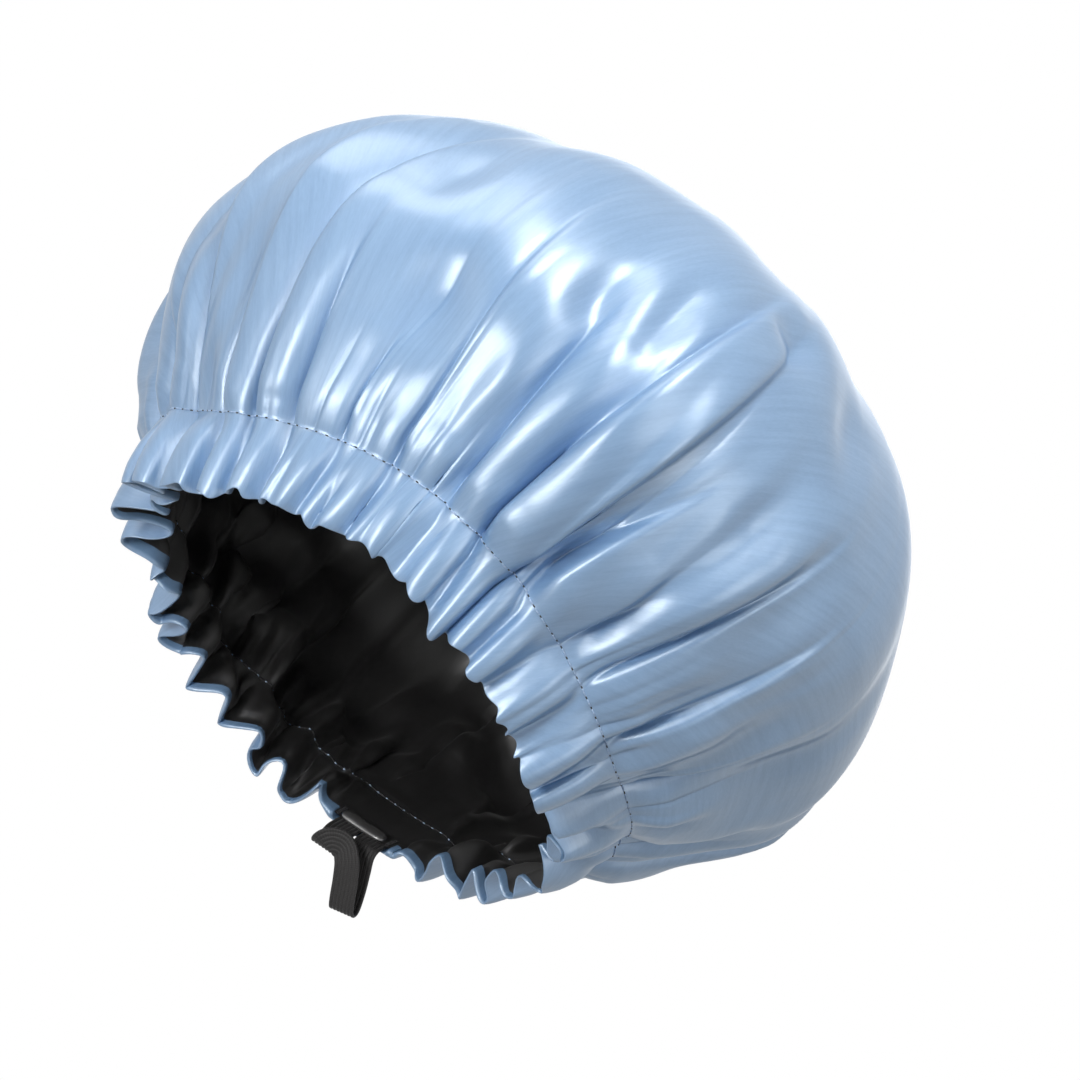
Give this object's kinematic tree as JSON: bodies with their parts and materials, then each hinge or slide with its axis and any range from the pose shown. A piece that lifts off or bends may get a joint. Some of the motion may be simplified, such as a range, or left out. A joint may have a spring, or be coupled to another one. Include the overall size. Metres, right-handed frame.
{
  "type": "satin sleep cap",
  "caption": "Reversible two-layer satin sleep cap with a full gathered crown, a ruffled hem on an elastic drawcord, and a pull loop at the nape.",
  "frame": {"origin": "middle of the head opening, in the plane of the hem's edge", "axes": "+Z along the cap's axis to the top of the crown, +Y to the nape with the pull loop, -Y to the forehead"},
  "size_m": [0.2927, 0.2927, 0.2314],
  "materials": {
    "blue_satin": "light blue polyester satin with a soft sheen",
    "black_satin": "black polyester satin with a soft sheen",
    "black_elastic": "matte ribbed knit elastic",
    "blue_thread": "polyester sewing thread",
    "black_thread": "polyester sewing thread"
  },
  "bodies": {
    "cap": {"outer_satin": "blue_satin", "lining_satin": "black_satin", "elastic_band": "black_elastic", "elastic_splice_thread": "black_thread", "channel_needle_thread": "blue_thread", "channel_bobbin_thread": "black_thread", "edge_seam_thread": "black_thread", "slit_welt": "black_satin", "bar_tack_left": "black_thread", "bar_tack_right": "black_thread"},
    "drawcord_strands": {"elastic_strand_left": "black_elastic", "elastic_strand_right": "black_elastic"},
    "drawcord_loop": {"elastic_loop": "black_elastic"}
  },
  "joints": [
    {"name": "loop_pull", "type": "slide", "parent": "cap", "child": "drawcord_strands", "axis": [0, -0.4763, -0.8793], "range_m": [0, 0.016], "stiffness_N_per_m": 40, "springref_m": -0.002},
    {"name": "loop_swing", "type": "hinge", "parent": "drawcord_strands", "child": "drawcord_loop", "pos_m": [0, 0.09025, -0.00246], "axis": [1, 0, 0], "range_deg": [-75, 55], "stiffness_Nm_per_rad": 0.001}
  ]
}
